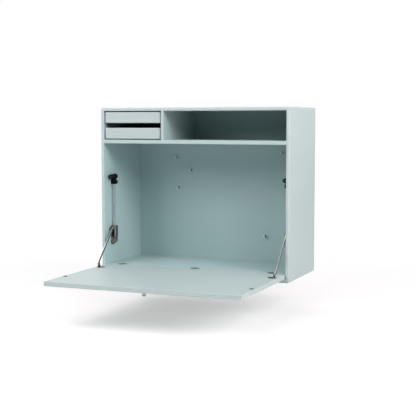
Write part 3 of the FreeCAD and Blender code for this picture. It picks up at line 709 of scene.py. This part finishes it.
def screw_set(length, heads, spin=0.5):
    """Screws of one length, each turned by spin more than the last. heads are (place, direction)."""
    master = cross_screw(length)
    screws = []
    for count, (place, direction) in enumerate(heads, start=1):
        turn = Matrix.Rotation(spin * count, 4, "Z")
        aim = (-direction).to_track_quat("Z", "Y").to_matrix().to_4x4()
        sink = Matrix.Translation(place + direction * SCREW_SINK * MM)
        screws.append(copied(master, sink @ aim @ turn))
    bpy.data.objects.remove(master)
    return gathered(screws)


# ---- Stays ---------------------------------------------------------------------------------
ROD = middle("stay_rod_left")
ROD_RADIUS = 3.5                                # millimetres
PIN_RADIUS = 2.0                                # millimetres
PIN_CLEARANCE = 0.05                            # millimetres, round the arm's lower pin
WALL_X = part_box("left_side_panel")[1].x         # inner face of the left side board
FOOT_SCREW_RISE = 8.3 * MM                      # from the foot's lowest point
FOOT_SEAT_DEPTH = 9.0 * MM                      # screw seat, behind the foot's inner face
CASTING_VOXEL = 0.45 * MM
BOSS_GAP = 0.3 * MM                             # between the clip's boss and the arm
ARM_HALF_THICKNESS = 1.5 * MM
LUG_GAP = 1.8 * MM                              # from the middle of the arm to the lug
LUG_THICKNESS = 3.0 * MM


def stay_head():
    """Black top mount: a socket on the rod, a ball above it and a round nose with the magnet."""
    low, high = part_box("stay_head_left")
    nose = Vector((ROD.x, low.y, middle("stay_magnets").z))
    ball = 22.7                                 # millimetres behind the nose
    rear = (high.y - low.y) / MM
    head = turned("head", nose, BACK, [
        (0.0, 6.2), (0.3, 7.0), (1.2, 7.8), (2.4, 8.1), (ball - 3.0, 8.0), (ball, 8.4),
        (ball + 1.2, 9.4), (ball + 4.0, 9.8), (rear - 5.0, 9.8), (rear - 2.0, 8.6), (rear - 0.4, 6.0),
        (rear, 3.0)])
    bridge_half = 6.8 * MM
    bridge = block("bridge", (WALL_X, nose.y + (ball + 2.0) * MM, nose.z - bridge_half),
                   (ROD.x, high.y - 2 * MM, nose.z + bridge_half))
    socket_half = 9.0 * MM
    socket_bottom = low.z + 1.2 * MM
    socket_top = low.z + 14.5 * MM
    socket = block("socket", (WALL_X, ROD.y - socket_half + 0.8 * MM, socket_bottom),
                   (ROD.x + socket_half, ROD.y + socket_half, socket_top))
    eased(socket, width=2.4 * MM, segments=4)
    collar = turned("collar", (ROD.x, ROD.y, low.z), UP, [(0.0, 5.4), (0.5, 6.4), (4.0, 6.6)])
    waist_place = (ROD.x - MM, ROD.y - MM, low.z + 12 * MM)
    waist = rod("waist", waist_place, UP, length=12.0, radius=8.0)
    joined(head, bridge, socket, collar, waist)
    moulded(head, CASTING_VOXEL, passes=3)
    magnet_seat = rod("magnet_seat", nose - BACK * MM, BACK, length=1.9, radius=5.6)
    rod_seat = rod("rod_seat", (ROD.x, ROD.y, low.z - MM), UP, length=17.0, radius=ROD_RADIUS)
    return carved(head, magnet_seat, rod_seat)


def stay_magnet():
    """Plated magnet in a steel ring, flush with the nose of the head."""
    place = Vector((ROD.x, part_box("stay_magnets")[0].y, middle("stay_magnets").z))
    return lathed("magnet", place, BACK, [
        (0.35, 0.8), (0.0, 1.6), (0.0, 3.2), (0.5, 3.5), (0.5, 4.1), (0.1, 4.4), (0.1, 5.2),
        (0.4, 5.5), (5.0, 5.5)])


def stay_foot():
    """Cast foot, drop-shaped and cut away below, that carries the lower end of the rod."""
    low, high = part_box("stay_foot_left")
    radius = 11.0                               # millimetres
    neck_half = 7.0 * MM
    shoulder_half = 9.2 * MM
    shoulder_rise = 7.0 * MM
    slope_rise = 14.0 * MM                      # where the cut starts, above the lowest point
    drop_z = low.z + radius * MM
    foot = rod("foot", (WALL_X, ROD.y, drop_z), RIGHT, (high.x - WALL_X) / MM, radius)
    neck = block("neck", (WALL_X, ROD.y - neck_half, drop_z), (high.x, ROD.y + neck_half, high.z))
    shoulder = block("shoulder", (WALL_X, ROD.y - shoulder_half, drop_z),
                     (high.x, ROD.y + shoulder_half, drop_z + shoulder_rise))
    rounded_edges(shoulder, lambda a, b: abs(a.x - b.x) > MM and a.z > drop_z + MM, radius=2.0 * MM)
    joined(foot, neck, shoulder)
    sliced(foot, (high.x, 0.0, low.z + slope_rise), outside=(1.0, 0.0, -1.0))
    eased(foot, width=1.6 * MM, segments=4)
    moulded(foot, CASTING_VOXEL, passes=2)
    rod_seat = rod("rod_seat", (ROD.x, ROD.y, high.z - 12 * MM), UP, length=13.0, radius=ROD_RADIUS)
    seat = FOOT_SEAT_DEPTH / MM + 1.0
    screw_hole = turned("screw_hole", (high.x + MM, ROD.y, low.z + FOOT_SCREW_RISE), LEFT, [
        (0.0, 4.0), (seat, 4.0), (seat, 3.5), (seat + SCREW_HEAD_HEIGHT, 1.9), (22.0, 1.9)], sides=32)
    return carved(foot, rod_seat, screw_hole)


def slider_block():
    """Friction block on the rod, with a countersunk bore."""
    low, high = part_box("slider_block_left")
    piece = block("slider", low, high)
    eased(piece, width=1.2 * MM)
    top = (high.z - low.z) / MM
    flare = 4.3                                 # radius at the bore's ends
    fit = ROD_RADIUS + 0.06
    bore = turned("bore", (ROD.x, ROD.y, low.z - MM), UP, [
        (0.0, flare), (1.6, flare), (2.2, fit), (top - 0.2, fit), (top + 0.4, flare), (top + 2.0, flare)])
    return shaded(carved(piece, bore))


def slider_clip():
    """Sheet sleeve round the slider, with the ear and boss that carry the arm."""
    low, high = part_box("slider_clip_left")
    block_low, block_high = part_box("slider_block_left")
    pin = middle("arm_rivet_left")
    sheet = 1.5 * MM
    front_sheet = 0.9 * MM
    lip = 5.2 * MM                              # what stays of the front, at the inner side
    below = low.z - 9 * MM                      # clear of the clip's lower edge

    def upright_at_inner_side(a, b):
        return abs(a.z - b.z) > MM and a.x > ROD.x

    clip = block("clip", (low.x, block_low.y - front_sheet, block_low.z + 0.4 * MM),
                 (high.x, high.y, high.z))
    inside = block("inside", (block_low.x, block_low.y, below), (block_high.x, block_high.y, high.z + MM))
    rounded_edges(clip, upright_at_inner_side, radius=2.6 * MM)
    rounded_edges(inside, upright_at_inner_side, radius=1.3 * MM)
    opening = block("opening", (block_low.x, low.y, below),
                    (high.x - lip, block_low.y + 0.3 * MM, pin.z - 2 * MM))
    carved(clip, inside, opening)
    ear_half = 7.5 * MM
    ear = block("ear", (low.x, pin.y, pin.z - ear_half), (low.x + sheet, ROD.y, pin.z + ear_half))
    eye = rod("eye", (low.x, pin.y, pin.z), RIGHT, length=sheet / MM, radius=ear_half / MM)
    joined(clip, ear, eye)
    window_place = (high.x - 2 * sheet, ROD.y + MM, middle("slider_clip_left").z + 6 * MM)
    carved(clip, rod("window", window_place, RIGHT, length=3 * sheet / MM, radius=2.6, sides=32))
    eased(clip, width=0.25 * MM, segments=2, angle=40.0)
    face = sheet / MM
    arm_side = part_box("stay_arm_left")[0].x - BOSS_GAP
    boss = turned("boss", (low.x, pin.y, pin.z), RIGHT, [
        (-0.3, 2.6), (0.0, 3.4), (face, 4.6), (face + 0.5, 3.5), ((arm_side - low.x) / MM, 3.5)])
    return shaded(joined(clip, boss))


def arm_ends():
    """The arm's lower pin, and the vector from there to its upper pin."""
    joint = next(joint for joint in frame["joints"] if joint["name"] == "arm_left_pivot")
    low = Vector(joint["pos_m"])
    upper = middle("arm_rivet_left")
    return low, Vector((low.x, upper.y, upper.z)) - low


def stay_arm():
    """Flat bar between two eyes, with a shallow pressed channel on both faces."""
    pin, along = arm_ends()
    length = along.length
    half_width = 4.0 * MM
    arm = block("arm", (-ARM_HALF_THICKNESS, -half_width, 0), (ARM_HALF_THICKNESS, half_width, length))
    thickness = 2 * ARM_HALF_THICKNESS / MM
    for end in (0.0, length):
        joined(arm, rod("eye", (-ARM_HALF_THICKNESS, 0, end), RIGHT, length=thickness, radius=4.5))
    channel_depth = 0.35 * MM
    channel_half = 1.9 * MM
    channel_start = 12.0 * MM
    for face_x in (-ARM_HALF_THICKNESS, ARM_HALF_THICKNESS):
        channel = block("channel", (face_x - channel_depth, -channel_half, channel_start),
                        (face_x + channel_depth, channel_half, length - channel_start))
        rounded_edges(channel, lambda a, b: abs(a.x - b.x) > channel_depth, radius=1.85 * MM)
        carved(arm, channel)
    for end, radius in ((0.0, PIN_RADIUS + PIN_CLEARANCE), (length, PIN_RADIUS)):
        carved(arm, rod("hole", (-2 * ARM_HALF_THICKNESS, 0, end), RIGHT, 2 * thickness, radius, sides=32))
    eased(arm, width=0.4 * MM, angle=40.0)
    lean = math.atan2(along.y, along.z)
    arm.data.transform(Matrix.Translation(pin) @ Matrix.Rotation(-lean, 4, "X"))
    return arm


def arm_rivet():
    """Domed rivet at the slider end of the arm."""
    low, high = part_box("arm_rivet_left")
    place = middle("arm_rivet_left")
    place.x = high.x
    return lathed("rivet", place, LEFT, [
        (0.0, 1.2), (0.12, 2.4), (0.55, 3.5), (1.1, 4.0), (1.5, 4.0), (1.5, PIN_RADIUS),
        ((high.x - low.x) / MM, PIN_RADIUS)])


def arm_bracket():
    """Cup let into the drop front, its round flange and the upright lug for the arm."""
    centre = middle("arm_bracket_left")
    pin = arm_ends()[0]
    flange = Vector((centre.x, centre.y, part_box("door_panel")[1].z))
    lug_low = pin.x + LUG_GAP
    lug_high = lug_low + LUG_THICKNESS
    bracket = turned("bracket", flange, UP, [
        (0.0, 15.0), (0.6, 15.0), (1.2, 14.4), (1.5, 13.2), (1.5, 9.0), (1.1, 8.2), (1.1, 1.0)], sides=64)
    cup = turned("cup", flange, DOWN, [(-0.5, 12.5), (9.0, 12.5)], sides=64)
    foot_half = 8.0 * MM
    tip_half = 5.0 * MM
    foot_z = flange.z + 0.5 * MM                # inside the flange
    lug = block("lug", (lug_low, pin.y - foot_half, foot_z), (lug_high, pin.y + foot_half, pin.z))
    narrowed(lug, pin.y, tip_half / foot_half)
    tip = rod("tip", (lug_low, pin.y, pin.z), RIGHT, length=LUG_THICKNESS / MM, radius=tip_half / MM)
    joined(bracket, cup, lug, tip)
    web_half = 1.2 * MM
    web_end = lug_high + 5.0 * MM
    web = block("web", (lug_high - 0.5 * MM, pin.y - web_half, foot_z),
                (web_end, pin.y + web_half, flange.z + 7.0 * MM))
    sloped(web, web_end, flange.z + 1.6 * MM)
    joined(bracket, web)
    hole_place = (lug_low - MM, pin.y, pin.z)
    carved(bracket, rod("hole", hole_place, RIGHT, length=5.0, radius=PIN_RADIUS, sides=32))
    return eased(bracket, width=0.35 * MM, segments=2, angle=40.0)


def bracket_pin():
    """Pin through the lug, with a domed head outside the arm."""
    pin = arm_ends()[0]
    lug_x = pin.x + LUG_GAP + LUG_THICKNESS
    head = (lug_x - pin.x + ARM_HALF_THICKNESS) / MM + 0.2
    return lathed("pin", (lug_x, pin.y, pin.z), LEFT, [
        (0.0, 1.6), (0.3, PIN_RADIUS), (head, PIN_RADIUS), (head, 3.5), (head + 0.5, 3.5),
        (head + 1.0, 2.9), (head + 1.3, 1.6)])


# Each piece of a stay: how it is made, its CAD node, body, material slot and finish.
SIDE_PIECES = [
    (stay_head, "stay_head_{}", "case", "black_plastic", "black_plastic"),
    (stay_foot, "stay_foot_{}", "case", "nickel_steel", "cast_nickel"),
    (slider_block, "slider_block_{}", "slider_{}", "black_plastic", "black_plastic"),
    (slider_clip, "slider_clip_{}", "slider_{}", "nickel_steel", "nickel_steel"),
    (stay_arm, "stay_arm_{}", "arm_{}", "bright_steel", "arm_steel"),
    (arm_rivet, "arm_rivet_{}", "arm_{}", "nickel_steel", "nickel_steel"),
    (arm_bracket, "arm_bracket_{}", "drop_front", "nickel_steel", "bracket_nickel"),
]
# The same for the pieces whose left and right one share a CAD node.
PAIRED_PIECES = [
    (stay_magnet, "stay_magnets", "case", "magnet_face", "magnet_face"),
    (bracket_pin, "bracket_pins", "drop_front", "screw_steel", "bracket_nickel"),
]


def fit_stays():
    """Both stays: the left one is modelled and the right one is its mirror image."""
    for make, node, body, slot, finish in SIDE_PIECES:
        left = make()
        for side, piece in (("left", left), ("right", right_hand(left))):
            if make not in (stay_head, stay_foot):      # the two castings stay soft
                flat_faced(piece)
            name = node.format(side)
            fitted(piece, "shaped_" + name, body.format(side), slot, name, finish=finish)
    for make, node, body, slot, finish in PAIRED_PIECES:
        left = make()
        fitted(gathered([left, right_hand(left)]), "shaped_" + node, body, slot, node, finish=finish)


# ---- Fittings of the drop front ------------------------------------------------------------
def fit_strikes():
    """Round strike plates for the magnets, with a screw in the middle of each."""
    low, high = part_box("strike_plates")
    top = (high.z - low.z) / MM
    plates = []
    heads = []
    for x in (ROD.x, -ROD.x):
        place = Vector((x, (low.y + high.y) / 2, low.z))
        plates.append(lathed("plate", place, UP, [
            (0.0, 7.5), (top - 0.5, 7.5), (top, 6.9), (top, 4.2), (top - 0.15, 3.5), (top - 2.2, 1.8)]))
        heads.append((place + UP * (top - 0.1) * MM, DOWN))
    fitted(gathered(plates), "shaped_strike_plates", "drop_front", "strike_steel", "strike_plates")
    # The strike screws take the strike plates' darkened colour, a painted dark reflection.
    fitted(screw_set(SHORT_SCREW, heads), "shaped_strike_screws", "drop_front", "screw_steel",
           "strike_screws", finish="strike_steel")


def fit_knob():
    """Turned knob under the front: a slim neck, a soft shoulder and a dished end."""
    low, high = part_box("door_knob")
    centre = middle("door_knob")
    end = (high.z - low.z) / MM
    knob = lathed("knob", (centre.x, centre.y, high.z), DOWN, [
        (0.0, 5.2), (0.8, 5.6), (4.0, 5.5), (9.0, 5.8), (end - 1.4, 6.0), (end - 0.5, 5.7), (end, 4.9),
        (end, 3.6), (end - 0.35, 2.4), (end - 0.45, 0.8)])
    fitted(knob, "shaped_door_knob", "drop_front", "lacquered_peg", "door_knob")


HINGE_PLACES = [middle("hinge_base_" + name).x for name in ("left", "middle", "right")]
BASE_SCREW_SPREAD = 10.0 * MM       # from the middle of the hinge
BASE_SCREW_SETBACK = 7.4 * MM       # from the inner floor's front edge
LEAF_SCREW_SETBACK = 4.0 * MM       # from the rear edge of the drop front


def fit_hinge_screws():
    """Two screws in each half of the three hinges."""
    floor_low, floor_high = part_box("inner_floor")
    base_y = floor_low.y + BASE_SCREW_SETBACK
    leaf_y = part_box("door_panel")[1].y - LEAF_SCREW_SETBACK
    leaf_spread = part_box("hinge_leaf_screws")[1].x - HINGE_PLACES[-1] - SCREW_HEAD * MM
    base = []
    leaf = []
    for x in HINGE_PLACES:
        for side in (-1, 1):
            base.append((Vector((x + side * BASE_SCREW_SPREAD, base_y, floor_high.z)), DOWN))
            leaf.append((Vector((x + side * leaf_spread, leaf_y, floor_high.z)), DOWN))
    fitted(screw_set(SHORT_SCREW, base), "shaped_hinge_base_screws", "case", "screw_steel",
           "hinge_base_screws")
    fitted(screw_set(SHORT_SCREW, leaf, spin=0.8), "shaped_hinge_leaf_screws", "drop_front",
           "screw_steel", "hinge_leaf_screws")


def fit_stay_screws():
    """The screw that holds each foot to its side board."""
    low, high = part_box("stay_foot_left")
    seat_x = high.x - FOOT_SEAT_DEPTH
    seat_z = low.z + FOOT_SCREW_RISE
    heads = [(Vector((seat_x, ROD.y, seat_z)), LEFT), (Vector((-seat_x, ROD.y, seat_z)), RIGHT)]
    fitted(screw_set(LONG_SCREW, heads), "shaped_stay_screws", "case", "screw_steel", "stay_screws")


# ---- Pegs and bare boards ------------------------------------------------------------------
# Each peg's place in millimetres, across from the middle of the desk and up from the case's foot.
PEG_PLACES = [(-185, 401), (-126, 355), (-178, 289), (231, 424), (167, 120)]
PEG_RADIUS = 4.0                    # millimetres, as are the next two
CAP_RADIUS = 4.7
CAP_LENGTH = 2.6


def fit_pegs():
    """Pegs in the back: a stem with a domed cap; the stem's near-black colour is painted shade and the cap's pale
    colour painted light.
    """
    low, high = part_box("back_pegs")
    case_foot_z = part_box("bottom_panel")[0].z
    end = (high.y - low.y) / MM
    cap = end - CAP_LENGTH
    caps = []
    stems = []
    for x, z in PEG_PLACES:
        root = (x * MM, high.y, case_foot_z + z * MM)
        caps.append(lathed("cap", root, FORWARD, [
            (cap, 2.0), (cap, CAP_RADIUS - 0.3), (cap + 0.3, CAP_RADIUS), (end - 1.3, CAP_RADIUS),
            (end - 0.8, CAP_RADIUS - 0.2), (end - 0.4, CAP_RADIUS - 0.8), (end - 0.1, 2.4), (end, 0.7)],
            sides=32, angle=50.0))
        stems.append(lathed("stem", root, FORWARD, [
            (0.0, PEG_RADIUS), (cap - 0.5, PEG_RADIUS), (cap - 0.5, 3.0), (cap + 0.5, 3.0)],
            sides=32, angle=50.0))
    fitted(gathered(caps), "shaped_back_pegs", "case", "lacquered_peg", "back_pegs", finish="peg_cap_painted_light")
    fitted(gathered(stems), "shaped_peg_stems", "case", "lacquered_peg", finish="peg_stem_painted_shade")


def dress_frame():
    """Finishes of the CAD nodes, by the record's material slots."""
    for row in frame["record"]["subparts"]:
        node = frame["nodes"][row["node"]]
        finish = BOARDS_WITH_PAINTED_LIGHT.get(row["node"], row["material_slot"])
        node.data.materials.clear()
        node.data.materials.append(FINISHES[finish])


set_camera()
pale_world()
for light in SOFT_LIGHTS:
    soft_light(*light)
lay_floor()
make_finishes()
dress_frame()
fit_stays()
fit_strikes()
fit_knob()
fit_hinge_screws()
fit_stay_screws()
fit_pegs()

bpy.context.scene.view_settings.view_transform = "Standard"
